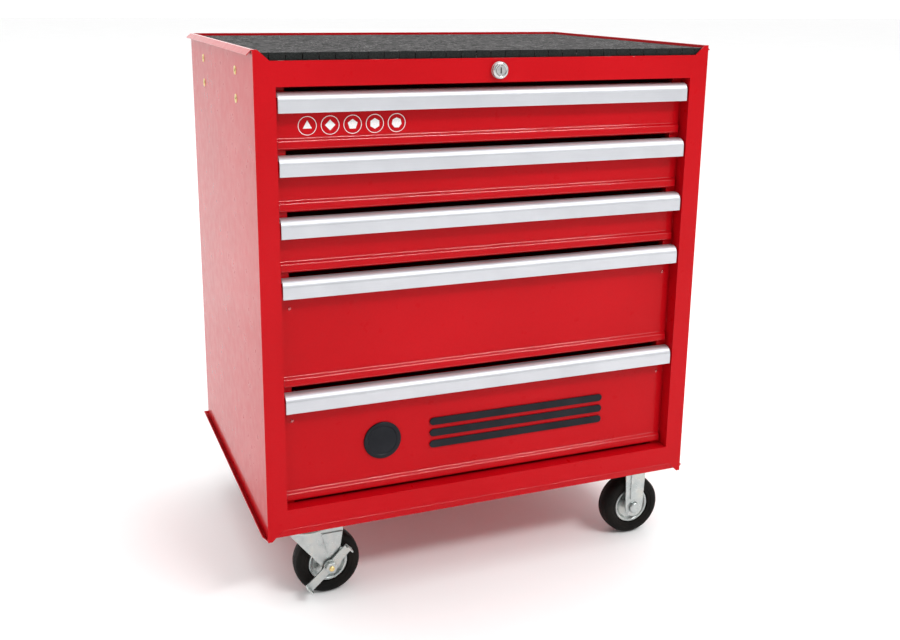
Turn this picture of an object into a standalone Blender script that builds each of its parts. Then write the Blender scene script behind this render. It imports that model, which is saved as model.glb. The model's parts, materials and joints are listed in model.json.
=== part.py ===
"""Tool cart: a sheet-steel cabinet with five drawers on ball slides, a lockable front rail, a matted
top tray, two braked swivel casters on the left and two rigid casters on the right.

Metres, +Z up. +X is the viewer's right and the drawers open towards -Y. The origin is the middle of
the overall box, on the floor. Depths written as "behind the front" are measured along +Y from FRONT.
"""

import math

import bmesh
import bpy
from mathutils import Vector

# Driving dimensions
BODY_WIDTH = 0.687
BODY_DEPTH = 0.500
BODY_HEIGHT = 0.690
CASTER_HEIGHT = 0.132
SHEET = 0.0015
THIN_SHEET = 0.0012
GAP = 0.0003
SEGMENTS = 28

# Hemmed trays that close the cabinet at its top and base
TRAY_DEPTH = 0.0143
HEM = 0.007
HEM_FRONT_SETBACK = 0.006
TRAY_WALL_INSET = 0.0035
PANEL_EDGE = 0.0050
MAT_THICKNESS = 0.010

# Front frame
POST_WIDTH = 0.029
POST_FLAT = 0.006
POST_BEVEL = 0.016
RECESS = 0.0225
TOP_RAIL_HEIGHT = 0.0335
BOTTOM_RAIL_TOP = 0.0455
LIP_CLEARANCE = 0.004
LIP_LEAN = 0.003

# Push-handle holes in the left wall
HANDLE_HOLE_RADIUS = 0.0050
HANDLE_HOLE_MARGIN = 0.119
HANDLE_HOLE_DROPS = (0.0340, 0.0725)

# Drawers
SMALL_PITCH = 0.084
LARGE_PITCH = 0.166
LAST_PITCH = 0.1735
DRAWER_PITCHES = (SMALL_PITCH, SMALL_PITCH, SMALL_PITCH, LARGE_PITCH, LAST_PITCH)
FIRST_DRAWER_DROP = 0.0075
DRAWER_GAP = 0.007
DRAWER_SIDE_GAP = 0.004
FACE_SETBACK = 0.0200
FACE_JOG = 0.0035
FACE_JOG_RISE = 0.0115
BOX_HALF_WIDTH = 0.2855
BOX_DEPTH = 0.440
HANDLE_HEIGHT = 0.027
HANDLE_WALL = 0.002
HANDLE_FLANGE = 0.0075

# Slides
SLIDE_LENGTH = 0.440
SLIDE_START = 0.0240
SLIDE_HEIGHT = 0.035
SLIDE_WIDTH = 0.0127

# Lock
LOCK_RADIUS = 0.012
LOCK_PROJECTION = 0.008
PLUG_RADIUS = 0.007
LOCK_BARREL_RADIUS = 0.0095
LOCK_BARREL_DEPTH = 0.026
CAM_LENGTH = 0.020

# Casters
WHEEL_RADIUS = 0.050
TYRE_WIDTH = 0.032
HUB_RADIUS = 0.030
CASTER_TRAIL = 0.030
CASTER_INSET_X = 0.0665
CASTER_INSET_Y = 0.048
PLATE_LENGTH = 0.096
PLATE_WIDTH = 0.070
PLATE_THICKNESS = 0.003
FORK_INNER = 0.0195
FORK_WALL = 0.0025
AXLE_RADIUS = 0.004
LEVER_WALL = 0.0025

# Places worked out from the dimensions above
FRONT = LOCK_PROJECTION - (LOCK_PROJECTION + BODY_DEPTH + HEM) / 2
HALF_WIDTH = BODY_WIDTH / 2
OPENING_HALF = HALF_WIDTH - POST_WIDTH
BASE_Z = CASTER_HEIGHT + GAP - TRAY_DEPTH
TOP_Z = BASE_Z + BODY_HEIGHT
RAIL_TOP = TOP_Z - TRAY_DEPTH
OPENING_TOP = RAIL_TOP - TOP_RAIL_HEIGHT
OPENING_BOTTOM = BASE_Z + BOTTOM_RAIL_TOP
CREASE = BASE_Z + TRAY_DEPTH + THIN_SHEET
SLIDE_OUTER_FACE = BOX_HALF_WIDTH + GAP + SLIDE_WIDTH


def clear_scene():
    for obj in list(bpy.data.objects):
        bpy.data.objects.remove(obj, do_unlink=True)


def material(name, colour, roughness, metallic=0.0):
    made = bpy.data.materials.new(name)
    made.use_nodes = True
    shader = made.node_tree.nodes["Principled BSDF"]
    shader.inputs["Base Color"].default_value = (*colour, 1.0)
    shader.inputs["Roughness"].default_value = roughness
    shader.inputs["Metallic"].default_value = metallic
    return made


def object_from(bm, name):
    bmesh.ops.recalc_face_normals(bm, faces=bm.faces)
    mesh = bpy.data.meshes.new(name)
    bm.to_mesh(mesh)
    bm.free()
    obj = bpy.data.objects.new(name, mesh)
    bpy.context.scene.collection.objects.link(obj)
    return obj


def empty(name, place, parent=None):
    obj = bpy.data.objects.new(name, None)
    obj.location = place
    obj.parent = parent
    bpy.context.scene.collection.objects.link(obj)
    return obj


def dress(obj, finish, parent=None):
    """Gives a piece its material, its parent and smooth rounds with sharp folds."""
    obj.data.materials.clear()
    obj.data.materials.append(finish)
    obj.data.shade_smooth()
    obj.data.set_sharp_from_angle(angle=math.radians(30))
    obj.parent = parent
    return obj


def to_space(axis, along, first, second):
    """A point from a section's two coordinates and the distance along the section's axis."""
    places = {"X": (along, first, second), "Y": (first, along, second), "Z": (first, second, along)}
    return Vector(places[axis])


def prism(name, outline, axis, start, end, spread=None):
    """Extrudes a closed outline. spread gives how much further out each end lies, by outline point."""
    bm = bmesh.new()
    rings = []
    for along, side in ((start, -1), (end, 1)):
        rings.append([])
        for first, second in outline:
            reach = side * spread(first, second) if spread else 0.0
            rings[-1].append(bm.verts.new(to_space(axis, along + reach, first, second)))
    close_loft(bm, rings)
    return object_from(bm, name)


def close_loft(bm, rings):
    """Joins rings of equal length with quads and caps the first and the last."""
    count = len(rings[0])
    for low, high in zip(rings, rings[1:]):
        for i in range(count):
            bm.faces.new((low[i], low[(i + 1) % count], high[(i + 1) % count], high[i]))
    bm.faces.new(rings[0])
    bm.faces.new(rings[-1])


def box(name, low, high):
    outline = [(low[0], low[1]), (high[0], low[1]), (high[0], high[1]), (low[0], high[1])]
    return prism(name, outline, "Z", low[2], high[2])


def ribbon(points, thickness):
    """The outline of a folded sheet: the points, then the same line moved left by the thickness."""
    line = [Vector(point) for point in points]
    moved = []
    for i, point in enumerate(line):
        before = (point - line[i - 1]).normalized() if i else None
        after = (line[i + 1] - point).normalized() if i + 1 < len(line) else None
        sides = [Vector((-way.y, way.x)) for way in (before, after) if way]
        middle = sum(sides, Vector((0.0, 0.0))).normalized()
        moved.append(point + middle * (thickness / middle.dot(sides[0])))
    return [tuple(point) for point in line + moved[::-1]]


def arc(centre, radius, start_deg, end_deg, steps):
    """Points on an arc, both ends included."""
    turn = [math.radians(start_deg + (end_deg - start_deg) * i / steps) for i in range(steps + 1)]
    return [(centre[0] + radius * math.cos(a), centre[1] + radius * math.sin(a)) for a in turn]


def turned(name, profile, axis, centre=(0.0, 0.0, 0.0), steps=SEGMENTS):
    """Turns a closed profile of (radius, height) points about an axis through centre."""
    bm = bmesh.new()
    rows = []
    for i in range(steps):
        angle = 2 * math.pi * i / steps
        ring = []
        for radius, height in profile:
            first, second = radius * math.cos(angle), radius * math.sin(angle)
            ring.append(bm.verts.new(Vector(centre) + to_space(axis, height, first, second)))
        rows.append(ring)
    count = len(profile)
    for i in range(steps):
        near, far = rows[i], rows[(i + 1) % steps]
        for j in range(count):
            bm.faces.new((near[j], near[(j + 1) % count], far[(j + 1) % count], far[j]))
    bmesh.ops.remove_doubles(bm, verts=bm.verts, dist=1e-6)
    bmesh.ops.dissolve_degenerate(bm, edges=bm.edges, dist=1e-6)
    return object_from(bm, name)


def cylinder(name, radius, axis, start, end, centre=(0.0, 0.0), steps=SEGMENTS):
    """A round bar. centre is where its axis crosses the plane across it."""
    return prism(name, arc(centre, radius, 0, 360, steps)[:-1], axis, start, end)


def combine(base, tool, operation):
    """Applies a Boolean of one object on another and removes the tool."""
    step = base.modifiers.new(operation.title(), "BOOLEAN")
    step.operation = operation
    step.object = tool
    bpy.context.view_layer.update()
    graph = bpy.context.evaluated_depsgraph_get()
    joined = bpy.data.meshes.new_from_object(base.evaluated_get(graph))
    base.modifiers.clear()
    base.data = joined
    bpy.data.objects.remove(tool, do_unlink=True)
    return base


def cut(base, tool):
    return combine(base, tool, "DIFFERENCE")


def join(base, tool):
    return combine(base, tool, "UNION")


def mirror_x(points):
    return [(-first, second) for first, second in points]


def behind(depth):
    """The Y of something this far behind the front face."""
    return FRONT + depth


# Cabinet


def side_panel(name, side, finish):
    """Side wall, front post and rear flange as one folded sheet, for side -1 (left) or 1 (right)."""
    rear = behind(BODY_DEPTH - SHEET - GAP)
    inner = SLIDE_OUTER_FACE + GAP
    fold = 0.012
    line = [
        (inner, rear - fold),
        (inner, rear),
        (HALF_WIDTH, rear),
        (HALF_WIDTH, FRONT),
        (OPENING_HALF, FRONT),
        (OPENING_HALF, behind(RECESS)),
        (inner, behind(RECESS)),
        (inner, behind(RECESS) + fold),
    ]
    outline = ribbon(line, -SHEET) if side > 0 else ribbon(mirror_x(line), SHEET)
    panel = prism(name, outline, "Z", BASE_Z, TOP_Z)
    trim_folds(panel, side)
    bevel_post_ends(panel, side)
    return dress(panel, finish)


def side_box(side, near, far, low_y, high_y, low_z, high_z):
    """A cutter between two distances from the middle, on one side of the cabinet."""
    first, second = sorted((side * near, side * far))
    return box("cutter", (first, low_y, low_z), (second, high_y, high_z))


def trim_folds(panel, side):
    """Stops the inner folds short of the trays and lowers the wall's edges under their hems."""
    beyond = 0.02
    inner, outer = SLIDE_OUTER_FACE - beyond, HALF_WIDTH - 0.0023
    rear = behind(BODY_DEPTH + beyond)
    fold_top = RAIL_TOP - THIN_SHEET - 2 * GAP
    fold_bottom = CREASE + 2 * GAP
    for low, high in ((fold_top, TOP_Z + beyond), (BASE_Z - beyond, fold_bottom)):
        cut(panel, side_box(side, inner, outer, behind(SHEET + 2 * GAP), rear, low, high))
    for low, high in ((TOP_Z - PANEL_EDGE, TOP_Z + beyond), (BASE_Z - beyond, BASE_Z + PANEL_EDGE)):
        start = behind(HEM_FRONT_SETBACK - GAP)
        cut(panel, side_box(side, inner, HALF_WIDTH + beyond, start, rear, low, high))


def bevel_post_ends(panel, side):
    """Cuts the slopes from the post's corners down to the rail and up to the front lip."""
    beyond = 0.03
    outer = HALF_WIDTH - POST_FLAT
    inner = outer - POST_BEVEL
    for edge, level, far in ((TOP_Z, RAIL_TOP, beyond), (BASE_Z, CREASE, -beyond)):
        slope = [
            (outer, edge),
            (inner, level),
            (OPENING_HALF - beyond, level),
            (OPENING_HALF - beyond, edge + far),
            (outer, edge + far),
        ]
        outline = slope if side > 0 else mirror_x(slope)
        cut(panel, prism("cutter", outline, "Y", behind(-beyond), behind(SHEET + 3 * GAP)))


def drill_handle_holes(panel):
    """Four holes for the rivet nuts of a push handle, in the left wall."""
    reach = 0.01
    for depth in (HANDLE_HOLE_MARGIN, BODY_DEPTH - HANDLE_HOLE_MARGIN):
        for drop in HANDLE_HOLE_DROPS:
            centre = (behind(depth), TOP_Z - drop)
            ends = (-HALF_WIDTH - reach, -HALF_WIDTH + reach)
            cut(panel, cylinder("cutter", HANDLE_HOLE_RADIUS, "X", *ends, centre, 16))


def back_panel(finish):
    low = (-HALF_WIDTH, behind(BODY_DEPTH - SHEET), BASE_Z + PANEL_EDGE)
    high = (HALF_WIDTH, behind(BODY_DEPTH), TOP_Z - PANEL_EDGE)
    panel = box("back_panel", low, high)
    rib_width, rib_depth, rib_margin = 0.030, 0.004, 0.090
    for centre in (-0.19, 0.19):
        rib = ribbon(
            [
                (centre - rib_width, behind(BODY_DEPTH)),
                (centre - rib_width / 2, behind(BODY_DEPTH) - rib_depth),
                (centre + rib_width / 2, behind(BODY_DEPTH) - rib_depth),
                (centre + rib_width, behind(BODY_DEPTH)),
            ],
            -SHEET,
        )
        low_z, high_z = BASE_Z + rib_margin, TOP_Z - rib_margin
        window = side_box(1, centre - rib_width, centre + rib_width, *back_span(), low_z, high_z)
        cut(panel, window)
        join(panel, capped_rib(rib, low_z, high_z))
    return dress(panel, finish)


def back_span():
    return behind(BODY_DEPTH - 0.02), behind(BODY_DEPTH + 0.02)


def capped_rib(outline, low_z, high_z):
    """A pressed channel that closes the window it stands in, with a plate across each end."""
    overlap = 0.001
    rib = prism("rib", outline, "Z", low_z - overlap, high_z + overlap)
    lows = [min(point[i] for point in outline) for i in (0, 1)]
    highs = [max(point[i] for point in outline) for i in (0, 1)]
    for end in (low_z, high_z):
        low = (lows[0], lows[1], end - overlap)
        high = (highs[0], highs[1], end + overlap)
        join(rib, box("cap", low, high))
    return rib


def rail(name, face_top, face_bottom, ledge_z, finish):
    """A front rail: a face, a ledge as deep as the recess and a stiffening fold."""
    inward = 0.006 if ledge_z == face_bottom else -0.006
    line = [
        (FRONT, face_top if ledge_z == face_bottom else face_bottom),
        (FRONT, ledge_z),
        (behind(RECESS), ledge_z),
        (behind(RECESS), ledge_z + inward),
    ]
    outline = ribbon(line, SHEET if inward > 0 else -SHEET)
    half = OPENING_HALF - GAP
    return dress(prism(name, outline, "X", -half, half), finish)


def top_rail(finish):
    piece = rail("top_rail", RAIL_TOP, OPENING_TOP, OPENING_TOP, finish)
    centre = (0.0, lock_height())
    hole = cylinder("cutter", LOCK_BARREL_RADIUS + GAP, "Y", behind(-0.01), behind(0.01), centre)
    return dress(cut(piece, hole), finish)


def u_sweep(name, section, front_y):
    """Sweeps a section of (outward offset, height) points round the left, back and right edges."""
    rear = behind(BODY_DEPTH)
    corners = (
        lambda out: (-HALF_WIDTH - out, front_y),
        lambda out: (-HALF_WIDTH - out, rear + out),
        lambda out: (HALF_WIDTH + out, rear + out),
        lambda out: (HALF_WIDTH + out, front_y),
    )
    bm = bmesh.new()
    rings = [[bm.verts.new((*corner(out), z)) for out, z in section] for corner in corners]
    close_loft(bm, rings)
    return object_from(bm, name)


def tray(name, ridge, floor, finish):
    """A shallow tray. Its wall rises to a ridge and folds outwards over the cabinet's edge."""
    way = 1 if ridge > floor else -1
    line = [
        (HEM, ridge - way * HEM),
        (0.0, ridge),
        (-TRAY_WALL_INSET, ridge),
        (-TRAY_WALL_INSET, floor),
        (-TRAY_WALL_INSET - 0.010, floor),
    ]
    rim = u_sweep(name, ribbon(line, way * THIN_SHEET), behind(HEM_FRONT_SETBACK))
    inset = TRAY_WALL_INSET + THIN_SHEET / 2
    low_z, high_z = sorted((floor, floor - way * THIN_SHEET))
    low = (-HALF_WIDTH + inset, behind(SHEET + 0.0011), low_z)
    high = (HALF_WIDTH - inset, behind(BODY_DEPTH) - inset, high_z)
    return dress(join(rim, box("floor", low, high)), finish)


def base_tray(finish):
    """The same tray upside down, with a front lip between the sloped post ends."""
    floor = BASE_Z + TRAY_DEPTH
    piece = tray("base_tray", BASE_Z, floor, finish)
    lip = ribbon(
        [
            (behind(0.012), CREASE),
            (FRONT, CREASE),
            (behind(LIP_LEAN), BASE_Z + LIP_CLEARANCE),
        ],
        THIN_SHEET,
    )
    half = HALF_WIDTH - POST_FLAT - POST_BEVEL - 3 * GAP
    slope = POST_BEVEL / (TRAY_DEPTH + THIN_SHEET)
    return dress(join(piece, sloped_lip(lip, half, slope)), finish)


def sloped_lip(outline, half, slope):
    return prism("lip", outline, "X", -half, half, lambda y, z: (CREASE - z) * slope)


def top_mat(finish):
    clearance = TRAY_WALL_INSET + THIN_SHEET + 0.001
    low = (-HALF_WIDTH + clearance, behind(0.0035), RAIL_TOP + GAP)
    high = (HALF_WIDTH - clearance, behind(BODY_DEPTH) - clearance, RAIL_TOP + GAP + MAT_THICKNESS)
    return dress(box("top_mat", low, high), finish)


# Lock


def lock_height():
    return (RAIL_TOP + OPENING_TOP) / 2


def lock_housing(finish):
    """A domed bezel on the rail with a barrel through it, bored for the plug."""
    bore = PLUG_RADIUS + GAP
    bezel = LOCK_RADIUS
    profile = [
        (bore, behind(LOCK_BARREL_DEPTH)),
        (bore, behind(-LOCK_PROJECTION)),
        (bezel - 0.0025, behind(-LOCK_PROJECTION)),
        (bezel - 0.0010, behind(-LOCK_PROJECTION + 0.0015)),
        (bezel - 0.0005, behind(-0.0030)),
        (bezel, behind(-0.0025)),
        (bezel, behind(-GAP)),
        (LOCK_BARREL_RADIUS, behind(-GAP)),
        (LOCK_BARREL_RADIUS, behind(LOCK_BARREL_DEPTH)),
    ]
    return dress(turned("lock_housing", profile, "Y", (0.0, 0.0, lock_height())), finish)


def lock_plug(finish):
    """The plug that the key turns, with its cam behind the barrel. Its origin is on its axis."""
    pivot = empty("lock_pivot", (0.0, 0.0, lock_height()))
    face = behind(-LOCK_PROJECTION + 0.0008)
    barrel_end = behind(LOCK_BARREL_DEPTH)
    plug = cylinder("lock_plug", PLUG_RADIUS, "Y", face, barrel_end + 0.0030)
    cam_half = 0.005
    cam = [
        (-cam_half, -cam_half),
        (CAM_LENGTH, -cam_half),
        (CAM_LENGTH, cam_half),
        (-cam_half, cam_half),
    ]
    join(plug, prism("cam", cam, "Y", barrel_end + 2 * GAP, barrel_end + 0.0026))
    keyway = box("cutter", (-0.0009, face - 0.01, -0.0042), (0.0009, face + 0.008, 0.0042))
    return dress(cut(plug, keyway), finish, pivot)


# Drawers


def drawer_tops():
    """The height of each drawer's top edge, from the top one down."""
    tops = [OPENING_TOP - FIRST_DRAWER_DROP]
    for pitch in DRAWER_PITCHES[:-1]:
        tops.append(tops[-1] - pitch)
    return tops


def drawer_box(name, height, finish, parent):
    """Tray and folded front of one drawer. Local origin: middle of the front face's top edge."""
    jog_z = -height + FACE_JOG_RISE
    face = ribbon(
        [
            (0.0, -0.0005),
            (0.0, jog_z + 0.0035),
            (-FACE_JOG, jog_z),
            (-FACE_JOG, -height + 0.002),
            (-FACE_JOG + 0.002, -height),
            (RECESS - FACE_SETBACK - 2 * GAP, -height),
        ],
        THIN_SHEET,
    )
    half = OPENING_HALF - DRAWER_SIDE_GAP
    front = prism("front", face, "X", -half, half)
    wall = THIN_SHEET
    floor_z, side_top = -height + 0.006, -0.014
    low = (-BOX_HALF_WIDTH, wall / 2, floor_z)
    high = (BOX_HALF_WIDTH, BOX_DEPTH, side_top)
    shell = box(name, low, high)
    inner_low = (low[0] + wall, wall, low[2] + wall)
    inner_high = (high[0] - wall, high[1] - wall, high[2] + 0.01)
    cut(shell, box("cutter", inner_low, inner_high))
    return dress(join(shell, front), finish, parent)


def drawer_handle(name, finish, parent):
    """Full-width extruded pull: a flange on the face, a rounded top and a front wall."""
    reach = FACE_SETBACK - 0.001
    radius = 0.0115
    back = -GAP
    top_round = arc((-reach + radius, -radius), radius, 90, 180, 6)
    line = [(back, -HANDLE_FLANGE), (back, 0.0), *top_round, (-reach, -HANDLE_HEIGHT)]
    half = OPENING_HALF - DRAWER_SIDE_GAP + 0.0015
    return dress(prism(name, ribbon(line, HANDLE_WALL), "X", -half, half), finish, parent)


def slide_outer(name, side, centre_z, finish):
    """Cabinet member of a slide: a channel open towards the drawer."""
    outer = SLIDE_OUTER_FACE
    reach, lip, half = 0.0085, 0.0025, SLIDE_HEIGHT / 2
    line = [
        (outer - reach, centre_z + half - lip),
        (outer - reach, centre_z + half),
        (outer, centre_z + half),
        (outer, centre_z - half),
        (outer - reach, centre_z - half),
        (outer - reach, centre_z - half + lip),
    ]
    outline = ribbon(line, -THIN_SHEET) if side > 0 else ribbon(mirror_x(line), THIN_SHEET)
    start = behind(SLIDE_START)
    return dress(prism(name, outline, "Y", start, start + SLIDE_LENGTH), finish)


def slide_inner(name, side, centre_z, finish, parent):
    """Drawer member of a slide: a narrower channel that runs inside the outer one."""
    near = BOX_HALF_WIDTH + GAP
    reach, half = 0.0095, SLIDE_HEIGHT / 2 - 0.0050
    line = [
        (near + reach, centre_z - half),
        (near, centre_z - half),
        (near, centre_z + half),
        (near + reach, centre_z + half),
    ]
    outline = ribbon(line, -THIN_SHEET) if side > 0 else ribbon(mirror_x(line), THIN_SHEET)
    start = SLIDE_START - FACE_SETBACK + 0.002
    length = BOX_DEPTH - start
    return dress(prism(name, outline, "Y", start, start + length), finish, parent)


def build_drawer(number, top, pitch, red, silver, steel):
    """One drawer: its box, pull and slides. Its parent empty lies on the face it slides from."""
    height = pitch - DRAWER_GAP
    name = f"drawer_{number}"
    pivot = empty(f"{name}_slide", (0.0, behind(FACE_SETBACK), top))
    drawer_box(f"{name}_box", height, red, pivot)
    drawer_handle(f"{name}_handle", silver, pivot)
    slide_z = -height + 0.036
    for side, label in ((-1, "left"), (1, "right")):
        slide_outer(f"{name}_slide_outer_{label}", side, top + slide_z, steel)
        slide_inner(f"{name}_slide_inner_{label}", side, slide_z, steel, pivot)


# Casters. Local origin: on the floor under the swivel axis, or under the wheel for a rigid one.


def caster_plate(name):
    """Mounting plate with four bolt slots."""
    low = (-PLATE_LENGTH / 2, -PLATE_WIDTH / 2, CASTER_HEIGHT - PLATE_THICKNESS)
    high = (PLATE_LENGTH / 2, PLATE_WIDTH / 2, CASTER_HEIGHT)
    plate = box(name, low, high)
    for x in (-0.038, 0.038):
        for y in (-0.026, 0.026):
            slot = cylinder("cutter", 0.0042, "Z", 0.1, CASTER_HEIGHT + 0.01, (x, y), 12)
            cut(plate, slot)
    return plate


def swivel_plate(name, finish, parent):
    """Mounting plate with the upper ball race and the kingpin, on which the fork turns."""
    plate = caster_plate(name)
    under = CASTER_HEIGHT - PLATE_THICKNESS
    race = [
        (0.0, under + 0.001),
        (0.0290, under + 0.001),
        (0.0300, under - 0.0050),
        (0.0300, under - 0.0140),
        (0.0280, under - 0.0155),
        (0.0, under - 0.0155),
    ]
    join(plate, turned("race", race, "Z"))
    return dress(plate, finish, parent)


def leg_outline(top_x, top_z, foot_radius, foot_x):
    """A leg that narrows from two corners at the top to a round foot on the axle."""
    foot = arc((foot_x, WHEEL_RADIUS), foot_radius, 180, 360, 10)
    return [(top_x[0], top_z), *foot, (top_x[1], top_z)]


def fork_legs(fork, outline):
    """Adds two legs, one on each side of the wheel."""
    for side in (-1, 1):
        ends = sorted((side * FORK_INNER, side * (FORK_INNER + FORK_WALL)))
        join(fork, prism("leg", outline, "Y", *ends))
    return fork


def bore_axle(piece, x, start, end):
    hole = cylinder("cutter", AXLE_RADIUS + GAP, "Y", start, end, (x, WHEEL_RADIUS), 16)
    return cut(piece, hole)


def swivel_fork(name, finish, parent):
    """Round crown under the race, two raked legs and the brake's stiffening plate on the outer leg."""
    crown_top = CASTER_HEIGHT - PLATE_THICKNESS - 0.0155 - GAP
    crown_wall = 0.0030
    outer = FORK_INNER + FORK_WALL
    crown = [
        (0.0, crown_top),
        (0.0270, crown_top),
        (0.0310, crown_top - 0.0015),
        (0.0310, crown_top - crown_wall - 0.0010),
        (0.0, crown_top - crown_wall),
    ]
    fork = turned(name, crown, "Z")
    shelf_low = (-0.032, -outer, crown_top - crown_wall)
    shelf_high = (0.052, outer, crown_top - 0.0006)
    join(fork, box("shelf", shelf_low, shelf_high))
    leg_top = crown_top - 0.0010
    fork_legs(fork, leg_outline((-0.032, 0.052), leg_top, 0.0125, CASTER_TRAIL))
    plate = [(0.018, leg_top - 0.009), (0.027, WHEEL_RADIUS + 0.018), (0.034, WHEEL_RADIUS + 0.018)]
    plate.append((0.050, leg_top - 0.009))
    join(fork, prism("plate", plate, "Y", -outer - 0.0020, -outer + 0.0010))
    return dress(bore_axle(fork, CASTER_TRAIL, -0.03, 0.03), finish, parent)


def rigid_fork(name, finish, parent):
    """Mounting plate and two straight ribbed legs, pressed from one sheet."""
    fork = caster_plate(name)
    outer = FORK_INNER + FORK_WALL
    under = CASTER_HEIGHT - PLATE_THICKNESS
    outline = leg_outline((-0.019, 0.019), under + 0.001, 0.016, 0.0)
    fork_legs(fork, outline)
    rib_half, rib_depth = 0.0085, 0.0018
    low_z, high_z = WHEEL_RADIUS + 0.016, under - 0.004
    for side in (-1, 1):
        low_y, high_y = sorted((side * (outer - 0.0005), side * (outer + rib_depth)))
        join(fork, box("rib", (-rib_half, low_y, low_z), (rib_half, high_y, high_z)))
    return dress(bore_axle(fork, 0.0, -0.03, 0.03), finish, parent)


def axle(name, near_clearance, head_radius, finish, parent):
    """A bolt along Y through the legs, with a head at the front and a nut at the back."""
    outer = FORK_INNER + FORK_WALL
    near = -outer - near_clearance - GAP
    far = outer + GAP
    head = 0.0050
    bolt = turned(
        name,
        [
            (0.0, near - head),
            (head_radius - 0.0015, near - head),
            (head_radius, near - head + 0.0015),
            (head_radius, near),
            (AXLE_RADIUS, near),
            (AXLE_RADIUS, far),
            (0.0, far),
        ],
        "Y",
        (0.0, 0.0, 0.0),
        16,
    )
    nut = prism("nut", arc((0.0, 0.0), 0.0075, 0, 360, 6)[:-1], "Y", far - 0.0001, far + 0.006)
    join(bolt, nut)
    return dress(bolt, finish, parent)


def tyre(name, finish, parent):
    half, inner, outer = TYRE_WIDTH / 2, HUB_RADIUS + GAP, WHEEL_RADIUS
    profile = [
        (inner, -half + 0.004),
        (inner + 0.004, -half + 0.001),
        (outer - 0.009, -half),
        (outer - 0.003, -half + 0.0035),
        (outer, -half + 0.0090),
        (outer, half - 0.0090),
        (outer - 0.003, half - 0.0035),
        (outer - 0.009, half),
        (inner + 0.004, half - 0.001),
        (inner, half - 0.004),
    ]
    return dress(turned(name, profile, "Y"), finish, parent)


def hub(name, finish, parent):
    """Pressed disc wheel centre: bearing sleeve, dished web and rim."""
    bore, sleeve, rim = AXLE_RADIUS + GAP, 0.0090, HUB_RADIUS
    end, web, half = FORK_INNER - 0.0004, 0.0075, TYRE_WIDTH / 2 - 0.0045
    profile = [
        (bore, -end),
        (sleeve, -end),
        (sleeve, -web - 0.0025),
        (0.0200, -web),
        (0.0260, -half),
        (rim, -half),
        (rim, half),
        (0.0260, half),
        (0.0200, web),
        (sleeve, web + 0.0025),
        (sleeve, end),
        (bore, end),
    ]
    return dress(turned(name, profile, "Y"), finish, parent)


def brake_lever(name, finish, parent):
    """Flat lever on the axle, outside the fork, with a foot tab at each end."""
    near = -(FORK_INNER + FORK_WALL) - GAP - 0.0024
    half, ring = 0.0065, 0.0105
    spread = math.degrees(math.asin(half / ring))
    arms = ((44, 0.040), (222, 0.046))
    outline, tabs = [], []
    for (angle, reach), (following, _) in zip(arms, (arms[1], (arms[0][0] + 360, 0))):
        way = Vector((math.cos(math.radians(angle)), math.sin(math.radians(angle))))
        across = Vector((-way.y, way.x)) * half
        ends = [way * reach - across, way * reach + across]
        outline += [tuple(end) for end in ends]
        outline += arc((0.0, 0.0), ring, angle + spread, following - spread, 6)
        inner, outer = way * (reach - LEVER_WALL), way * (reach - GAP)
        side = across * 0.95
        tabs.append([tuple(p) for p in (inner - side, inner + side, outer + side, outer - side)])
    lever = prism(name, outline, "Y", near - LEVER_WALL, near)
    for tab in tabs:
        join(lever, prism("tab", tab, "Y", near - 0.0120, near - LEVER_WALL / 2))
    hole = cylinder("cutter", AXLE_RADIUS + GAP, "Y", near - 0.01, near + 0.01, (0.0, 0.0), 16)
    return dress(cut(lever, hole), finish, parent)


def wheel(name, place, rubber, zinc, parent):
    """Tyre and hub on an empty that lies on the axle."""
    pivot = empty(f"{name}_axis", place, parent)
    tyre(f"{name}_tyre", rubber, pivot)
    hub(f"{name}_hub", zinc, pivot)
    return pivot


def swivel_caster(name, x, y, rubber, zinc):
    axis = empty(f"{name}_swivel_axis", (x, y, 0.0))
    swivel_plate(f"{name}_plate", zinc, axis)
    swivel_fork(f"{name}_fork", zinc, axis)
    pivot = wheel(name, (CASTER_TRAIL, 0.0, WHEEL_RADIUS), rubber, zinc, axis)
    brake_gap = LEVER_WALL + 0.0024 + GAP
    axle(f"{name}_axle", brake_gap, 0.0080, zinc, pivot)
    brake_lever(f"{name}_brake_lever", zinc, pivot)


def rigid_caster(name, x, y, rubber, zinc):
    axis = empty(f"{name}_frame", (x, y, 0.0))
    rigid_fork(f"{name}_fork", zinc, axis)
    pivot = wheel(name, (0.0, 0.0, WHEEL_RADIUS), rubber, zinc, axis)
    axle(f"{name}_axle", 0.0, 0.0095, zinc, pivot)


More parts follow.
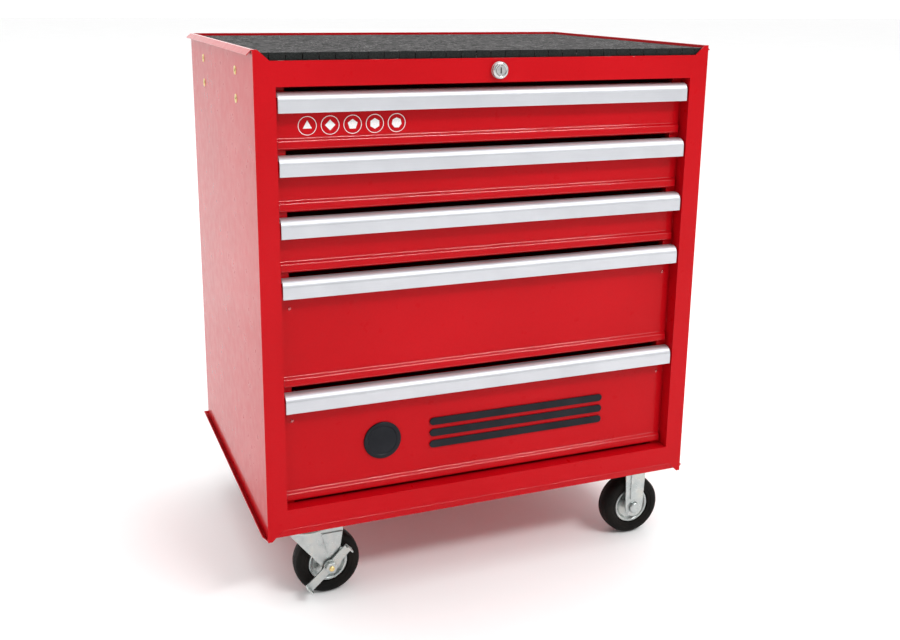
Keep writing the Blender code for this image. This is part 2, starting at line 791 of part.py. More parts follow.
def build():
    clear_scene()
    red = material("red_paint", (0.56, 0.008, 0.012), 0.30)
    silver = material("aluminium", (0.80, 0.80, 0.82), 0.35, 0.9)
    steel = material("slide_steel", (0.62, 0.63, 0.64), 0.35, 1.0)
    zinc = material("zinc_plate", (0.70, 0.72, 0.71), 0.38, 0.9)
    chrome = material("lock_chrome", (0.82, 0.82, 0.83), 0.15, 1.0)
    rubber = material("tyre_rubber", (0.02, 0.018, 0.016), 0.75)
    foam = material("mat_foam", (0.11, 0.11, 0.115), 0.95)

    left = side_panel("side_panel_left", -1, red)
    drill_handle_holes(left)
    side_panel("side_panel_right", 1, red)
    back_panel(red)
    top_rail(red)
    rail("bottom_rail", OPENING_BOTTOM, CREASE + GAP, OPENING_BOTTOM, red)
    tray("top_tray", TOP_Z, RAIL_TOP, red)
    base_tray(red)
    top_mat(foam)
    lock_housing(chrome)
    lock_plug(chrome)

    for number, (top, pitch) in enumerate(zip(drawer_tops(), DRAWER_PITCHES), start=1):
        build_drawer(number, top, pitch, red, silver, steel)

    caster_x = HALF_WIDTH - CASTER_INSET_X
    for end, y in (("front", behind(CASTER_INSET_Y)), ("rear", behind(BODY_DEPTH - CASTER_INSET_Y))):
        swivel_caster(f"caster_{end}_left", -caster_x, y, rubber, zinc)
        rigid_caster(f"caster_{end}_right", caster_x, y, rubber, zinc)


build()
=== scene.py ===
import json
import math

import bmesh
import bpy
from mathutils import Matrix, Vector


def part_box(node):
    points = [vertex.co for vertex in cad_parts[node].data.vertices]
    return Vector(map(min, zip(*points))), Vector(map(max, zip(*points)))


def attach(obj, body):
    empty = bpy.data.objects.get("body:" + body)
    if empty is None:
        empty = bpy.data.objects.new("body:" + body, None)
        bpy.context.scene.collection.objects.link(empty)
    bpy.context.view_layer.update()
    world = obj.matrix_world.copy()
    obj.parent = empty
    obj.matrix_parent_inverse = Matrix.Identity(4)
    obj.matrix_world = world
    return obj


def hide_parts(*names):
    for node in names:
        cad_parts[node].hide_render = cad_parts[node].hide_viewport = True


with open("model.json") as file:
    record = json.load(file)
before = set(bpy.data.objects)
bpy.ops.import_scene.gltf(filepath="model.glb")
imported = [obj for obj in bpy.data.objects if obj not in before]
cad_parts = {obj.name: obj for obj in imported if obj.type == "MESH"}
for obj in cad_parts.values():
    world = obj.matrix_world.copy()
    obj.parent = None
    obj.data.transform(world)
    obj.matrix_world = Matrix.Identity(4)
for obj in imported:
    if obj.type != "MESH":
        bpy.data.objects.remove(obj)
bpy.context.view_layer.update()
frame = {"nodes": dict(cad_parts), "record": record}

# Looks of the red tool cart. Metres, in the CAD's own frame: +X right, drawers open towards -Y.
# Tyres, wheel centres, pulls, the lock's bezel and the mat are made again in finer mesh code. All
# other CAD nodes get rounded edges. Either way the new piece stands for its CAD node.

NODE_BODY = {node: body for body, nodes in frame["record"]["behaviour"]["bodies"].items() for node in nodes}
NODE_SLOT = {part["node"]: part["material_slot"] for part in frame["record"]["subparts"]}

# Nodes welded into one skin, the ends of the names of nodes that have a function of their own, and
# the radius of the other nodes' rounded edges by slot
SHELL_NODES = ("side_panel_left", "side_panel_right", "top_rail", "bottom_rail")
MADE_APART = ("_handle", "_tyre", "_hub", "lock_housing", "lock_plug", "top_mat", "base_tray")
EDGE_RADIUS = {"red_paint": 0.0017, "slide_steel": 0.0004, "zinc_plate": 0.0011}


# Procedural materials


class Shader:
    """A Principled material and the few node steps that its texture is built from."""

    def __init__(self, name, **fixed):
        self.material = bpy.data.materials.new(name)
        self.material.use_nodes = True
        self.tree = self.material.node_tree
        self.surface = self.tree.nodes["Principled BSDF"]
        self.place = self.tree.nodes.new("ShaderNodeTexCoord").outputs["Object"]
        for socket, value in fixed.items():
            self.surface.inputs[socket.replace("_", " ")].default_value = value

    def scaled(self, scale):
        step = self.tree.nodes.new("ShaderNodeMapping")
        step.inputs["Scale"].default_value = scale
        self.tree.links.new(self.place, step.inputs["Vector"])
        return step.outputs["Vector"]

    def noise(self, scale, detail=3.0, roughness=0.5, vector=None):
        step = self.tree.nodes.new("ShaderNodeTexNoise")
        step.inputs["Scale"].default_value = scale
        step.inputs["Detail"].default_value = detail
        step.inputs["Roughness"].default_value = roughness
        self.tree.links.new(vector or self.place, step.inputs["Vector"])
        return step.outputs["Fac"]

    def cells(self, scale):
        step = self.tree.nodes.new("ShaderNodeTexVoronoi")
        step.inputs["Scale"].default_value = scale
        self.tree.links.new(self.place, step.inputs["Vector"])
        return step.outputs["Color"]

    def ramp(self, value, stops):
        """stops are (position, colour or grey) pairs."""
        step = self.tree.nodes.new("ShaderNodeValToRGB")
        points = step.color_ramp.elements
        while len(points) < len(stops):
            points.new(0.5)
        for point, (position, colour) in zip(points, stops):
            shade = colour if isinstance(colour, tuple) else (colour, colour, colour)
            point.position = position
            point.color = (*shade, 1.0)
        self.tree.links.new(value, step.inputs["Fac"])
        return step.outputs["Color"]

    def mix(self, factor, first, second, kind="MIX"):
        step = self.tree.nodes.new("ShaderNodeMix")
        step.data_type = "RGBA"
        step.blend_type = kind
        if isinstance(factor, float):
            step.inputs["Factor"].default_value = factor
        else:
            self.tree.links.new(factor, step.inputs["Factor"])
        self.tree.links.new(first, step.inputs["A"])
        self.tree.links.new(second, step.inputs["B"])
        return step.outputs["Result"]

    def bump(self, height, distance, strength=1.0, under=None):
        step = self.tree.nodes.new("ShaderNodeBump")
        step.inputs["Distance"].default_value = distance
        step.inputs["Strength"].default_value = strength
        self.tree.links.new(height, step.inputs["Height"])
        if under:
            self.tree.links.new(under, step.inputs["Normal"])
        return step.outputs["Normal"]

    def finish(self, colour, roughness, normal):
        for socket, value in (("Base Color", colour), ("Roughness", roughness), ("Normal", normal)):
            self.tree.links.new(value, self.surface.inputs[socket])
        return self.material


def red_paint(name, coat_weight, coat_ior):
    """Glossy powder coat: a slow change of tone, fine orange peel and a finer speck."""
    s = Shader(
        name,
        IOR=1.15,
        Specular_IOR_Level=0.5,
        Coat_Weight=coat_weight,
        Coat_Roughness=0.08,
        Coat_IOR=coat_ior,
    )
    tone = s.ramp(s.noise(5.0, 4.0), [(0.30, (0.44, 0.0015, 0.0050)), (0.70, (0.49, 0.0025, 0.0070))])
    speck = s.ramp(s.noise(420.0, 2.0), [(0.35, 0.955), (0.65, 1.0)])
    roughness = s.ramp(s.noise(60.0, 5.0), [(0.30, 0.27), (0.70, 0.35)])
    peel = s.bump(s.noise(160.0, 1.0), 0.00003, 0.10)
    return s.finish(s.mix(1.0, tone, speck, "MULTIPLY"), roughness, peel)


def anodised_aluminium():
    """Satin extrusion with die lines along its length."""
    s = Shader("anodised_aluminium", Metallic=0.82, Anisotropic=0.35, IOR=1.5)
    lines = s.noise(1.0, 4.0, 0.6, s.scaled((3.0, 1500.0, 1500.0)))
    cloud = s.noise(14.0, 4.0)
    tone = s.ramp(cloud, [(0.3, (0.56, 0.57, 0.60)), (0.7, (0.62, 0.63, 0.66))])
    streak = s.ramp(lines, [(0.3, 0.94), (0.7, 1.0)])
    roughness = s.ramp(lines, [(0.25, 0.44), (0.75, 0.56)])
    return s.finish(s.mix(1.0, tone, streak, "MULTIPLY"), roughness, s.bump(lines, 0.00006, 0.25))


def zinc_plate():
    """Bright zinc: a cloudy blue-white with a trace of yellow passivation."""
    s = Shader("zinc_plate", Metallic=0.92, IOR=1.6)
    cloud = s.noise(42.0, 6.0, 0.6)
    tone = s.ramp(cloud, [(0.25, (0.34, 0.38, 0.38)), (0.5, (0.48, 0.51, 0.50)), (0.8, (0.58, 0.57, 0.51))])
    grain = s.noise(1500.0, 3.0)
    roughness = s.ramp(s.noise(180.0, 5.0), [(0.3, 0.24), (0.7, 0.42)])
    return s.finish(tone, roughness, s.bump(grain, 0.00006, 0.35, s.bump(cloud, 0.0003, 0.15)))


def slide_steel():
    """Galvanised strip with its spangle and the light scoring of the rollers."""
    s = Shader("galvanised_slide_steel", Metallic=0.95, IOR=1.6)
    spangle = s.ramp(s.cells(240.0), [(0.1, (0.46, 0.48, 0.50)), (0.9, (0.70, 0.72, 0.73))])
    score = s.noise(1.0, 3.0, 0.5, s.scaled((1400.0, 4.0, 1400.0)))
    roughness = s.ramp(score, [(0.3, 0.26), (0.7, 0.46)])
    return s.finish(spangle, roughness, s.bump(score, 0.00006, 0.4))


def polished_nickel():
    """The lock's bright plating, a little smeared."""
    s = Shader("polished_nickel", Metallic=1.0, IOR=1.6)
    smear = s.noise(260.0, 6.0)
    tone = s.ramp(smear, [(0.3, (0.46, 0.46, 0.45)), (0.7, (0.58, 0.58, 0.57))])
    roughness = s.ramp(s.noise(900.0, 3.0), [(0.3, 0.10), (0.7, 0.22)])
    return s.finish(tone, roughness, s.bump(smear, 0.00004, 0.3))


def tyre_rubber():
    """Moulded rubber with a warm bloom and dust-fine pits."""
    s = Shader("moulded_rubber", IOR=1.20)
    bloom = s.noise(26.0, 6.0, 0.65)
    tone = s.ramp(bloom, [(0.3, (0.003, 0.003, 0.003)), (0.75, (0.012, 0.009, 0.007))])
    roughness = s.ramp(s.noise(300.0, 5.0), [(0.3, 0.48), (0.7, 0.68)])
    pits = s.bump(s.noise(1400.0, 3.0), 0.00015, 0.5)
    return s.finish(tone, roughness, pits)


def speckled_foam():
    """Dark closed-cell foam with pale flecks and an open grain."""
    s = Shader("speckled_foam", IOR=1.22)
    patch = s.ramp(s.noise(95.0, 4.0, 0.6), [(0.40, (0.004, 0.004, 0.004)), (0.60, (0.060, 0.058, 0.058))])
    fleck = s.ramp(s.noise(330.0, 3.0, 0.7), [(0.53, 0.0), (0.60, 1.0)])
    pale = s.ramp(s.noise(110.0, 3.0), [(0.40, (0.02, 0.02, 0.02)), (0.62, (0.28, 0.27, 0.27))])
    pore = s.noise(900.0, 4.0, 0.7)
    roughness = s.ramp(pore, [(0.3, 0.82), (0.7, 0.97)])
    return s.finish(s.mix(fleck, patch, pale), roughness, s.bump(pore, 0.0006, 0.8))


def front_foam_painted_shade():
    """The mat's front face: foam painted darker than its top as painted shade, with torn cells."""
    s = Shader("front_foam_painted_shade", IOR=1.2)
    cell = s.noise(700.0, 5.0, 0.75)
    tone = s.ramp(cell, [(0.35, (0.004, 0.005, 0.005)), (0.68, (0.034, 0.037, 0.036))])
    roughness = s.ramp(cell, [(0.3, 0.85), (0.7, 0.98)])
    return s.finish(tone, roughness, s.bump(cell, 0.0006, 0.8))


def black_plastic():
    """Fine-grained moulded plastic of the badge."""
    s = Shader("black_plastic", IOR=1.22)
    tone = s.ramp(s.noise(30.0, 4.0), [(0.3, (0.008, 0.009, 0.012)), (0.7, (0.015, 0.016, 0.020))])
    spark = s.noise(1600.0, 2.0)
    roughness = s.ramp(spark, [(0.3, 0.32), (0.7, 0.46)])
    return s.finish(tone, roughness, s.bump(spark, 0.00010, 0.4))


def white_print():
    """White ink, a little uneven."""
    s = Shader("white_print", IOR=1.45)
    ink = s.noise(700.0, 4.0)
    tone = s.ramp(ink, [(0.3, (0.70, 0.66, 0.65)), (0.6, (0.86, 0.85, 0.84))])
    roughness = s.ramp(ink, [(0.3, 0.38), (0.7, 0.52)])
    return s.finish(tone, roughness, s.bump(ink, 0.00004, 0.4))


def yellow_zinc():
    """Yellow-passivated zinc of the rivet nuts and the axles' ends."""
    s = Shader("yellow_zinc", Metallic=0.9, IOR=1.6)
    cloud = s.noise(500.0, 5.0)
    tone = s.ramp(cloud, [(0.3, (0.62, 0.42, 0.13)), (0.7, (0.80, 0.66, 0.32))])
    roughness = s.ramp(cloud, [(0.3, 0.22), (0.7, 0.38)])
    return s.finish(tone, roughness, s.bump(cloud, 0.00006, 0.3))


def studio_floor():
    """Matt, nearly white floor."""
    s = Shader("studio_floor", IOR=1.4)
    tone = s.ramp(s.noise(2.0, 4.0), [(0.3, (0.88, 0.88, 0.88)), (0.7, (0.90, 0.90, 0.90))])
    roughness = s.ramp(s.noise(30.0, 4.0), [(0.3, 0.70), (0.7, 0.85)])
    return s.finish(tone, roughness, s.bump(s.noise(200.0, 3.0), 0.0002, 0.1))


FINISHES = {
    "red_paint": red_paint("red_powder_coat", 0.55, 1.18),
    "aluminium": anodised_aluminium(),
    "slide_steel": slide_steel(),
    "zinc_plate": zinc_plate(),
    "lock_chrome": polished_nickel(),
    "tyre_rubber": tyre_rubber(),
    "mat_foam": speckled_foam(),
}
FOLD_PAINT = red_paint("red_powder_coat_folds", 1.0, 1.90)
FRONT_FOAM_PAINTED_SHADE = front_foam_painted_shade()
BLACK = black_plastic()
WHITE = white_print()
YELLOW = yellow_zinc()


# Mesh helpers: angles from which an edge counts as a crease or gets rounded, and how much of a
# narrow face a rounded edge may take

CREASE = math.radians(30)
ROUNDED_CREASE = math.radians(50)
SMALLEST_FOLD = math.radians(20)
FLAT = math.radians(0.5)
WIDEST_SHARE = 0.34


def piece_from(bm, name):
    bmesh.ops.recalc_face_normals(bm, faces=bm.faces)
    mesh = bpy.data.meshes.new(name)
    bm.to_mesh(mesh)
    bm.free()
    mesh.shade_smooth()
    mesh.set_sharp_from_angle(angle=CREASE)
    obj = bpy.data.objects.new(name, mesh)
    bpy.context.scene.collection.objects.link(obj)
    return obj


def gloss_folds(mesh):
    """Gives folds and cut edges, where the powder flows out smooth, the glossier paint."""
    widest = 0.0009
    mesh.materials.append(FOLD_PAINT)
    for face in mesh.polygons:
        corners = [mesh.vertices[i].co for i in face.vertices]
        length = sum((a - b).length for a, b in zip(corners, corners[1:] + corners[:1])) / 2
        if face.area < widest * length:
            face.material_index = 1


def place(obj, body, finish, slot, *stands_for):
    """Rides a piece on its body, gives it its material and hides the nodes it stands for. The slot is not
    used.
    """
    obj.data.materials.clear()
    obj.data.materials.append(finish)
    if finish == FINISHES["red_paint"]:
        gloss_folds(obj.data)
    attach(obj, body)
    if stands_for:
        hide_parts(*stands_for)
    return obj


def stand_in(obj, node):
    """A piece that takes a CAD node's place and body, and the finish of its slot."""
    return place(obj, NODE_BODY[node], FINISHES[NODE_SLOT[node]], NODE_SLOT[node], node)


def bake_modifiers(obj):
    bpy.context.view_layer.update()
    graph = bpy.context.evaluated_depsgraph_get()
    mesh = bpy.data.meshes.new_from_object(obj.evaluated_get(graph))
    obj.modifiers.clear()
    obj.data = mesh
    return obj


def face_width(face, edge):
    """How far a face reaches from one of its edges."""
    start = edge.verts[0].co
    way = (edge.verts[1].co - start).normalized()
    return max((v.co - start - way * (v.co - start).dot(way)).length for v in face.verts)


def weigh_edges(bm, radius):
    """Bevel weights: full at wide folds, and less where a face beside the edge is narrow."""
    layer = bm.edges.layers.float.new("bevel_weight_edge")
    for edge in bm.edges:
        if len(edge.link_faces) != 2 or edge.calc_face_angle(0.0) < SMALLEST_FOLD:
            continue
        width = min(face_width(face, edge) for face in edge.link_faces)
        edge[layer] = min(radius, WIDEST_SHARE * width) / radius


def round_edges(obj, radius, segments=3):
    bm = bmesh.new()
    bm.from_mesh(obj.data)
    bmesh.ops.remove_doubles(bm, verts=bm.verts, dist=1e-6)
    bmesh.ops.dissolve_limit(bm, angle_limit=FLAT, verts=bm.verts, edges=bm.edges)
    weigh_edges(bm, radius)
    bm.to_mesh(obj.data)
    bm.free()
    obj.data.shade_smooth()
    step = obj.modifiers.new("Round", "BEVEL")
    step.width = radius
    step.segments = segments
    step.limit_method = "WEIGHT"
    bake_modifiers(obj)
    obj.data.shade_smooth()
    obj.data.set_sharp_from_angle(angle=ROUNDED_CREASE)
    even = obj.modifiers.new("Even", "WEIGHTED_NORMAL")
    even.weight, even.keep_sharp = 100, True
    return bake_modifiers(obj)


def node_copy(node):
    copy = bpy.data.objects.new(f"{node}_rounded", frame["nodes"][node].data.copy())
    bpy.context.scene.collection.objects.link(copy)
    return copy


def rounded_node(node, radius):
    """The CAD node's own shape with its folds and cut edges rounded."""
    return stand_in(round_edges(node_copy(node), radius), node)


def spot(axis, first, second, along):
    """The point at a distance along an axis and at two distances along the other axes."""
    point = [first, second]
    point.insert("XYZ".index(axis), along)
    return point


def lathe(name, profile, centre, axis="Y", steps=96):
    """Turns a closed (radius, height) profile round an axis through centre."""
    bm = bmesh.new()
    rows = []
    for i in range(steps):
        angle = 2 * math.pi * i / steps
        row = [spot(axis, r * math.cos(angle), r * math.sin(angle), h) for r, h in profile]
        rows.append([bm.verts.new(Vector(centre) + Vector(point)) for point in row])
    for i in range(steps):
        near, far = rows[i], rows[(i + 1) % steps]
        for j in range(len(profile)):
            k = (j + 1) % len(profile)
            bm.faces.new((near[j], near[k], far[k], far[j]))
    bmesh.ops.remove_doubles(bm, verts=bm.verts, dist=1e-7)
    bmesh.ops.dissolve_degenerate(bm, edges=bm.edges, dist=1e-7)
    return piece_from(bm, name)


def arc(centre, radius, start, end, steps):
    """Points on a circle's arc, with its ends in degrees."""
    turns = [math.radians(start + (end - start) * i / steps) for i in range(steps + 1)]
    return [(centre[0] + radius * math.cos(a), centre[1] + radius * math.sin(a)) for a in turns]


def extrude(name, outline, axis, start, end):
    """A closed outline pushed along an axis."""
    bm = bmesh.new()
    rings = [[bm.verts.new(spot(axis, a, b, h)) for a, b in outline] for h in (start, end)]
    for i in range(len(outline)):
        k = (i + 1) % len(outline)
        bm.faces.new((rings[0][i], rings[0][k], rings[1][k], rings[1][i]))
    bm.faces.new(rings[0])
    bm.faces.new(rings[1])
    return piece_from(bm, name)


def unite(base, tools):
    """Joins closed pieces into one skin and removes the tools."""
    for tool in tools:
        step = base.modifiers.new("Unite", "BOOLEAN")
        step.operation, step.solver, step.object = "UNION", "EXACT", tool
    bake_modifiers(base)
    for tool in tools:
        bpy.data.objects.remove(tool)
    return base


def middle(node):
    low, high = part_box(node)
    return (low + high) / 2


# Cabinet and drawers


def welded_shell(radius):
    """The side panels and front rails as one skin, because their welds are dressed flush."""
    side = node_copy("side_panel_left")
    rails = [node_copy(node) for node in ("top_rail", "bottom_rail")]
    reach, end_band = 0.0008, 0.001
    for rail in rails:
        end = max(v.co.x for v in rail.data.vertices)
        for v in rail.data.vertices:
            if abs(v.co.x) > end - end_band:
                v.co.x += math.copysign(reach, v.co.x)
    shell = unite(side, [*rails, node_copy("side_panel_right")])
    shell.name = "cabinet_shell"
    return place(
        round_edges(shell, radius), "cabinet", FINISHES["red_paint"], "red_paint", *SHELL_NODES
    )


def aluminium_pull(node):
    """The extruded pull: back flange, round top and front wall with a curled lower edge."""
    low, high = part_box(node)
    wall, radius, flange, chamfer, steps = 0.0020, 0.0115, 0.0075, 0.0008, 16
    edge_radius = 0.0005
    # (distance inwards from the front wall's outer face, height above its lower edge)
    curl_outside = [(0.0, 0.0012), (0.0004, 0.0003), (0.0012, 0.0)]
    curl_inside = [(0.0026, 0.0), (0.0030, 0.0006), (0.0026, 0.0030), (wall, 0.0042)]
    outer = [(high.y, high.z - flange), (high.y, high.z - chamfer), (high.y - chamfer, high.z)]
    outer += arc((low.y + radius, high.z - radius), radius, 90, 180, steps)
    outer += [(low.y + inward, low.z + up) for inward, up in curl_outside]
    inner = [(low.y + inward, low.z + up) for inward, up in curl_inside]
    inner += arc((low.y + radius, high.z - radius), radius - wall, 180, 90, steps)
    inner += [(high.y - wall, high.z - wall), (high.y - wall, high.z - flange)]
    pull = extrude(f"{node}_extrusion", outer + inner, "X", low.x, high.x)
    return stand_in(round_edges(pull, edge_radius, 2), node)


def mat_outline(low, high):
    """Plan of the mat: its front edge is slit where the foam's cut strips meet."""
    pitch, width, depth = 0.0222, 0.0011, 0.0055
    count = int((high.x - low.x) / pitch)
    first = (low.x + high.x - (count - 1) * pitch) / 2
    points = [(low.x, high.y), (low.x, low.y)]
    for i in range(count):
        x = first + i * pitch
        points += [(x - width / 2, low.y), (x - width / 4, low.y + depth)]
        points += [(x + width / 4, low.y + depth), (x + width / 2, low.y)]
    return points + [(high.x, low.y), (high.x, high.y)]


def dressed_base_tray(radius):
    """The base tray with its front lip drawn out to the slopes of the posts."""
    tray = node_copy("base_tray")
    reach, lip_depth = 0.0010, 0.004
    inside, outside = 0.31, 0.34
    lip_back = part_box("base_tray")[0].y + lip_depth
    for v in tray.data.vertices:
        if v.co.y < lip_back and inside < abs(v.co.x) < outside:
            v.co.x += math.copysign(reach, v.co.x)
    return stand_in(round_edges(tray, radius), "base_tray")


def foam_mat():
    """The top tray's mat with its slit front edge; its front faces get darker foam as painted shade."""
    edge_radius, faces_front = 0.0009, -0.5
    low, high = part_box("top_mat")
    mat = extrude("foam_mat", mat_outline(low, high), "Z", low.z, high.z)
    mat = stand_in(round_edges(mat, edge_radius, 2), "top_mat")
    # Darker foam on the faces that look forward: painted shade on the mat's front face.
    mat.data.materials.append(FRONT_FOAM_PAINTED_SHADE)
    for face in mat.data.polygons:
        face.material_index = 1 if face.normal.y < faces_front else 0


def rivet_nuts():
    """Flanged, threaded inserts in the four handle holes of the left wall."""
    low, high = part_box("side_panel_left")
    margin, drops = 0.119, (0.0340, 0.0725)
    hole, flange, thread, depth = 0.0046, 0.0064, 0.0030, 0.012
    outside, seat, chamfer = -0.0009, -0.0001, 0.0005
    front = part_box("top_rail")[0].y
    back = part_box("back_panel")[1].y
    for row, drop in enumerate(drops, start=1):
        for name, y in (("front", front + margin), ("rear", back - margin)):
            profile = [
                (thread, depth),
                (thread, outside + 0.0006),
                (thread + 0.0004, outside),
                (flange - chamfer, outside),
                (flange, seat),
                (hole, seat),
                (hole, depth),
            ]
            centre = (low.x, y, high.z - drop)
            nut = lathe(f"rivet_nut_{name}_{row}", profile, centre, "X", 40)
            place(nut, "cabinet", YELLOW, "zinc_plate")


def pop_rivet(name, body, centre, finish, slot):
    """A small domed rivet standing on a face that looks towards -Y."""
    proud, spread, edge = 0.0009, 2.6, 0.0026
    dome = [(0.0, -proud)] + [(r, -h) for r, h in arc((0.0, 0.0), proud, 80, 10, 5)]
    profile = [(radius * spread, height) for radius, height in dome] + [(edge, 0.0), (0.0, 0.0)]
    place(lathe(name, profile, centre, "Y", 24), body, finish, slot)


def drawer_rivets():
    """Rivets that hold the pull's ends, at the upper corners of the two deep drawers."""
    aside, drop = 0.300, 0.044
    for number in (4, 5):
        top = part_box(f"drawer_{number}_box")[1].z
        face_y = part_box(f"drawer_{number}_handle")[1].y
        for side, x in (("left", -aside), ("right", aside)):
            centre = (x, face_y, top - drop)
            body = f"drawer_{number}"
            pop_rivet(f"{body}_rivet_{side}", body, centre, FINISHES["red_paint"], "red_paint")


# Marks on the drawers: plain shapes in place of lettering and labels


def rounded_bar(length, height, steps=10):
    """Outline of a bar with round ends, about its middle."""
    radius = height / 2
    right = arc((length / 2 - radius, 0.0), radius, -90, 90, steps)
    left = arc((-length / 2 + radius, 0.0), radius, 90, 270, steps)
    return right + left


def drawer_badge():
    """A plain rimmed disc and three raised stripes beside it, in black plastic."""
    face_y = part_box("drawer_5_handle")[1].y
    disc_x, stripe_x, drop = -0.166, 0.054, 0.093
    length, height, pitch = 0.292, 0.0115, 0.0180
    proud, seat, edge_radius = 0.0024, 0.0001, 0.0005
    centre_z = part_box("drawer_5_box")[1].z - drop
    rimmed = [
        (0.0, -seat),
        (0.0, -proud + 0.0014),
        (0.0215, -proud + 0.0014),
        (0.0225, -proud + 0.0004),
        (0.0231, -proud),
        (0.0277, -proud),
        (0.0284, -proud + 0.0006),
        (0.0286, -seat),
    ]
    disc = lathe("badge_disc", rimmed, (disc_x, face_y, centre_z), "Y")
    place(disc, "drawer_5", BLACK, "tyre_rubber")
    for i, offset in enumerate((pitch, 0.0, -pitch), start=1):
        bar = [(x + stripe_x, z + centre_z + offset) for x, z in rounded_bar(length, height)]
        stripe = extrude(f"badge_stripe_{i}", bar, "Y", face_y - proud, face_y - seat)
        place(round_edges(stripe, edge_radius, 2), "drawer_5", BLACK, "tyre_rubber")


def printed_rings():
    """Five printed rings round plain polygons, in place of the top drawer's small labels."""
    face_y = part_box("drawer_1_handle")[1].y
    count, first_x, pitch, drop = 5, -0.269, 0.0314, 0.0455
    inner, outer, shape_radius = 0.0120, 0.0128, 0.0072
    ink, seat = 0.00012, 0.00002
    centre_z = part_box("drawer_1_box")[1].z - drop
    for i in range(count):
        centre = (first_x + pitch * i, face_y, centre_z)
        ring = [(inner, -seat), (inner, -ink), (outer, -ink), (outer, -seat)]
        place(lathe(f"printed_ring_{i + 1}", ring, centre, "Y", 64), "drawer_1", WHITE, "aluminium")
        last_corner = 90 + 360 * (i + 2) / (i + 3)
        corners = arc((centre[0], centre[2]), shape_radius, 90, last_corner, i + 2)
        shape = extrude(f"printed_shape_{i + 1}", corners, "Y", face_y - ink, face_y - seat)
        place(shape, "drawer_1", WHITE, "aluminium")


# Lock


def lock():
    """Domed bezel and barrel, and the plug with its keyway."""
    low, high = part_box("lock_housing")
    centre = (0.0, 0.0, (low.z + high.z) / 2)
    radius, bore, barrel = (high.x - low.x) / 2, 0.0073, 0.0095
    dome_radius, seat = 0.0032, 0.0002
    front = low.y
    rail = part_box("top_rail")[0].y
    profile = [
        (bore, high.y),
        (bore, front + 0.0009),
        (bore + 0.0007, front + 0.0003),
        (bore + 0.0014, front),
    ]
    profile += arc((radius - dome_radius, front + dome_radius), dome_radius, -90, -12, 8)
    profile += [(radius - 0.0004, rail - 0.0024), (radius, rail - 0.0018), (radius, rail - seat)]
    profile += [(barrel, rail - seat), (barrel, high.y)]
    stand_in(lathe("lock_bezel", profile, centre, "Y"), "lock_housing")
    rounded_node("lock_plug", 0.0006)


# Casters


def fine_tyre(node):
    """Solid rubber tyre: crowned tread with a mould line, round shoulders, stepped side walls."""
    low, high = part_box(node)
    radius, half = (high.z - low.z) / 2, (high.y - low.y) / 2
    inner = 0.0303
    # (radius, distance from the wheel's middle plane), from the bore outwards
    side = [
        (inner, half - 0.0052),
        (inner + 0.0012, half - 0.0024),
        (inner + 0.0040, half - 0.0012),
        (inner + 0.0062, half - 0.0010),
        (inner + 0.0068, half - 0.0003),
        (radius - 0.0100, half),
    ]
    shoulder = arc((radius - 0.0090, half - 0.0085), 0.0085, 85, 12, 10)
    tread = [(radius - 0.0003, half - 0.0120), (radius, 0.0030), (radius, 0.0005), (radius, 0.0)]
    top = side + shoulder + tread
    profile = top + [(r, -h) for r, h in top[-2::-1]]
    stand_in(lathe(f"{node}_moulded", profile, middle(node), "Y", 128), node)


def fine_hub(node):
    """Pressed disc centre: rolled rim, channel, dished web and bearing sleeve."""
    low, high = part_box(node)
    radius, end = (high.z - low.z) / 2, (high.y - low.y) / 2
    # (radius, distance from the wheel's middle plane), from the bore outwards
    side = [
        (0.0043, end),
        (0.0078, end),
        (0.0086, end - 0.0006),
        (0.0090, end - 0.0020),
        (0.0092, 0.0118),
        (0.0104, 0.0098),
        (0.0130, 0.0088),
        (0.0175, 0.0084),
        (0.0205, 0.0078),
        (0.0225, 0.0082),
        (0.0245, 0.0102),
        (0.0256, 0.0124),
        (0.0268, 0.0132),
        (0.0282, 0.0134),
        (0.0294, 0.0128),
        (radius, 0.0112),
    ]
    profile = side + [(r, -h) for r, h in side[::-1]]
    stand_in(lathe(f"{node}_pressed", profile, middle(node), "Y", 96), node)


def hex_ring(radius):
    """A hexagon's corners about its middle."""
    return arc((0.0, 0.0), radius, 0, 300, 5)


def plate_bolts(caster, centre_x, centre_y, under_z):
    """Hex bolt heads with washers under the caster's mounting plate."""
    spacing_x, spacing_y, corner, chamfer = 0.038, 0.026, 0.0062, 0.0007
    head_low, head_top = under_z - 0.0054, under_z - 0.0014
    seat, washer_low, washer_radius, bevel = -0.0001, -0.0013, 0.0076, 0.0004
    ring = [
        (0.0, washer_low),
        (washer_radius - bevel, washer_low),
        (washer_radius, washer_low + bevel),
        (washer_radius, seat),
        (0.0, seat),
    ]
    for i, (dx, dy) in enumerate(((-1, -1), (1, -1), (1, 1), (-1, 1)), start=1):
        x, y = centre_x + dx * spacing_x, centre_y + dy * spacing_y
        head = [(x + a, y + b) for a, b in hex_ring(corner)]
        bolt = extrude(f"{caster}_bolt_{i}", head, "Z", head_low, head_top)
        place(round_edges(bolt, chamfer, 2), "cabinet", FINISHES["zinc_plate"], "zinc_plate")
        washer = lathe(f"{caster}_washer_{i}", ring, (x, y, under_z), "Z", 32)
        place(washer, "cabinet", FINISHES["zinc_plate"], "zinc_plate")


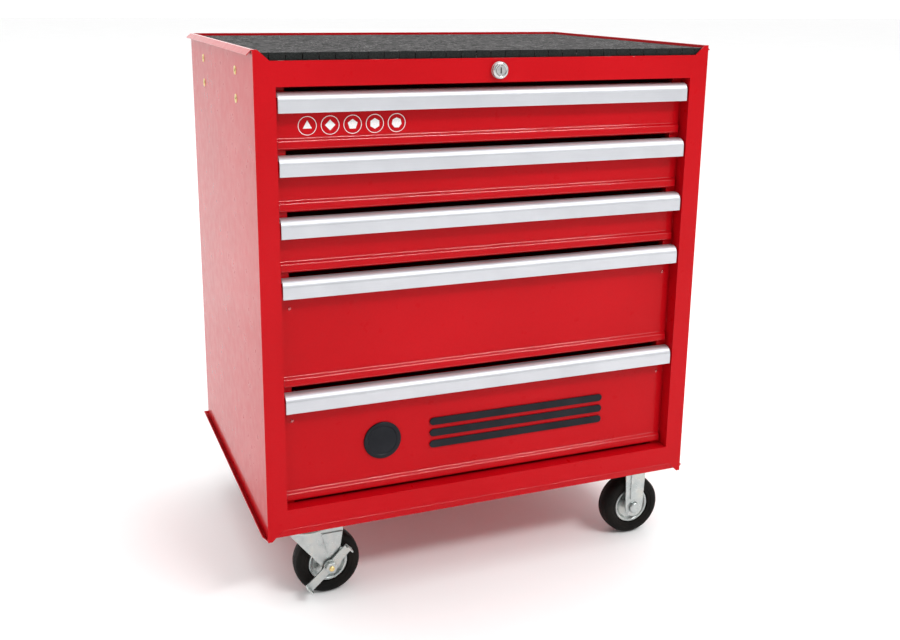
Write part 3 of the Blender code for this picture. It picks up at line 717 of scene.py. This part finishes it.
def axle_nut(caster):
    """A hex nut on the axle's outer end, with the bolt's end standing out of it."""
    axle = f"{caster}_axle"
    low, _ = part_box(axle)
    centre = middle(axle)
    corner, proud, depth, chamfer = 0.0094, 0.0012, 0.0046, 0.0009
    hexagon = [(centre.x + a, centre.z + b) for a, b in hex_ring(corner)]
    nut = extrude(f"{caster}_axle_nut", hexagon, "Y", low.y - proud, low.y + depth)
    place(round_edges(nut, chamfer, 2), NODE_BODY[axle], FINISHES["zinc_plate"], "zinc_plate")
    end_radius, end_low, end_bevel, root = 0.0040, -0.0030, 0.0006, 0.0010
    end = [
        (0.0, end_low),
        (end_radius - end_bevel, end_low),
        (end_radius, end_low + end_bevel),
        (end_radius, root),
        (0.0, root),
    ]
    stud = lathe(f"{caster}_axle_end", end, (centre.x, low.y, centre.z), "Y", 24)
    place(stud, NODE_BODY[axle], YELLOW, "zinc_plate")


def caster_fittings():
    """Tyres, wheel centres, plate bolts and, on the swivel casters, axle nuts."""
    plate_thickness = 0.003
    for end in ("front", "rear"):
        axle_nut(f"caster_{end}_left")
        for side in ("left", "right"):
            caster = f"caster_{end}_{side}"
            fine_tyre(f"{caster}_tyre")
            fine_hub(f"{caster}_hub")
            plate = f"{caster}_plate" if side == "left" else f"{caster}_fork"
            low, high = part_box(plate)
            under_z = high.z - plate_thickness
            plate_bolts(caster, (low.x + high.x) / 2, (low.y + high.y) / 2, under_z)


# Stage: floor, soft light and camera


def stage_floor():
    reach, thickness = 30.0, 0.05
    corners = [(-reach, -reach), (reach, -reach), (reach, reach), (-reach, reach)]
    floor = extrude("studio_floor", corners, "Z", -thickness, 0.0)
    floor.data.materials.append(studio_floor())


def area_light(name, place_at, target, size, power):
    light = bpy.data.lights.new(name, "AREA")
    light.shape = "RECTANGLE"
    light.size, light.size_y = size
    light.energy = power
    lamp = bpy.data.objects.new(name, light)
    lamp.location = place_at
    lamp.rotation_euler = (Vector(target) - Vector(place_at)).to_track_quat("-Z", "Y").to_euler()
    bpy.context.scene.collection.objects.link(lamp)


def soft_studio():
    """White surroundings, dimmer in front, with a strip key, a low fill and a wide ceiling light."""
    world = bpy.data.worlds.new("studio_air")
    world.use_nodes = True
    nodes, links = world.node_tree.nodes, world.node_tree.links
    split = nodes.new("ShaderNodeSeparateXYZ")
    links.new(nodes.new("ShaderNodeTexCoord").outputs["Generated"], split.inputs["Vector"])
    ramp = nodes.new("ShaderNodeMapRange")
    ramp.interpolation_type = "SMOOTHSTEP"
    ramp.inputs["From Min"].default_value = -0.6
    ramp.inputs["From Max"].default_value = 0.4
    ramp.inputs["To Min"].default_value = 0.55
    ramp.inputs["To Max"].default_value = 1.45
    links.new(split.outputs["Y"], ramp.inputs["Value"])
    links.new(ramp.outputs["Result"], nodes["Background"].inputs["Strength"])
    nodes["Background"].inputs["Color"].default_value = (1.0, 1.0, 1.0, 1.0)
    bpy.context.scene.world = world
    bpy.context.scene.view_settings.view_transform = "Standard"
    area_light("key_light", (1.25, -2.6, 3.0), (0.0, 0.0, 0.45), (1.8, 0.30), 68.0)
    area_light("fill_light", (3.2, -2.2, 1.8), (0.0, 0.0, 0.40), (2.4, 2.0), 10.0)
    area_light("top_light", (0.0, 0.6, 9.0), (0.0, 0.6, 0.0), (14.0, 14.0), 420.0)


def camera():
    """A little above the cart's top and to its left, looking down at it."""
    lens = bpy.data.cameras.new("camera")
    lens.sensor_width = 36.0
    lens.lens = 42.9
    lens.shift_y = -0.0667
    eye = bpy.data.objects.new("camera", lens)
    stand = (-0.625, -1.623, 0.886)
    yaw, pitch, roll = 0.384, 0.248, 0.012
    forward = Vector((math.sin(yaw) * math.cos(pitch), math.cos(yaw) * math.cos(pitch), -math.sin(pitch)))
    right = Vector((math.cos(yaw), -math.sin(yaw), 0.0))
    up = right.cross(forward)
    tilt = Matrix.Rotation(roll, 3, -forward)
    right, up = tilt @ right, tilt @ up
    turn = Matrix((right, up, -forward)).transposed()
    eye.matrix_world = Matrix.Translation(stand) @ turn.to_4x4()
    bpy.context.scene.collection.objects.link(eye)
    bpy.context.scene.camera = eye


# The whole cart, then its stage

for node, slot in NODE_SLOT.items():
    if not node.endswith(MADE_APART) and node not in SHELL_NODES:
        rounded_node(node, EDGE_RADIUS[slot])
welded_shell(EDGE_RADIUS["red_paint"])
dressed_base_tray(EDGE_RADIUS["red_paint"])
for number in range(1, 6):
    aluminium_pull(f"drawer_{number}_handle")
foam_mat()
rivet_nuts()
drawer_rivets()
drawer_badge()
printed_rings()
lock()
caster_fittings()
stage_floor()
soft_studio()
camera()
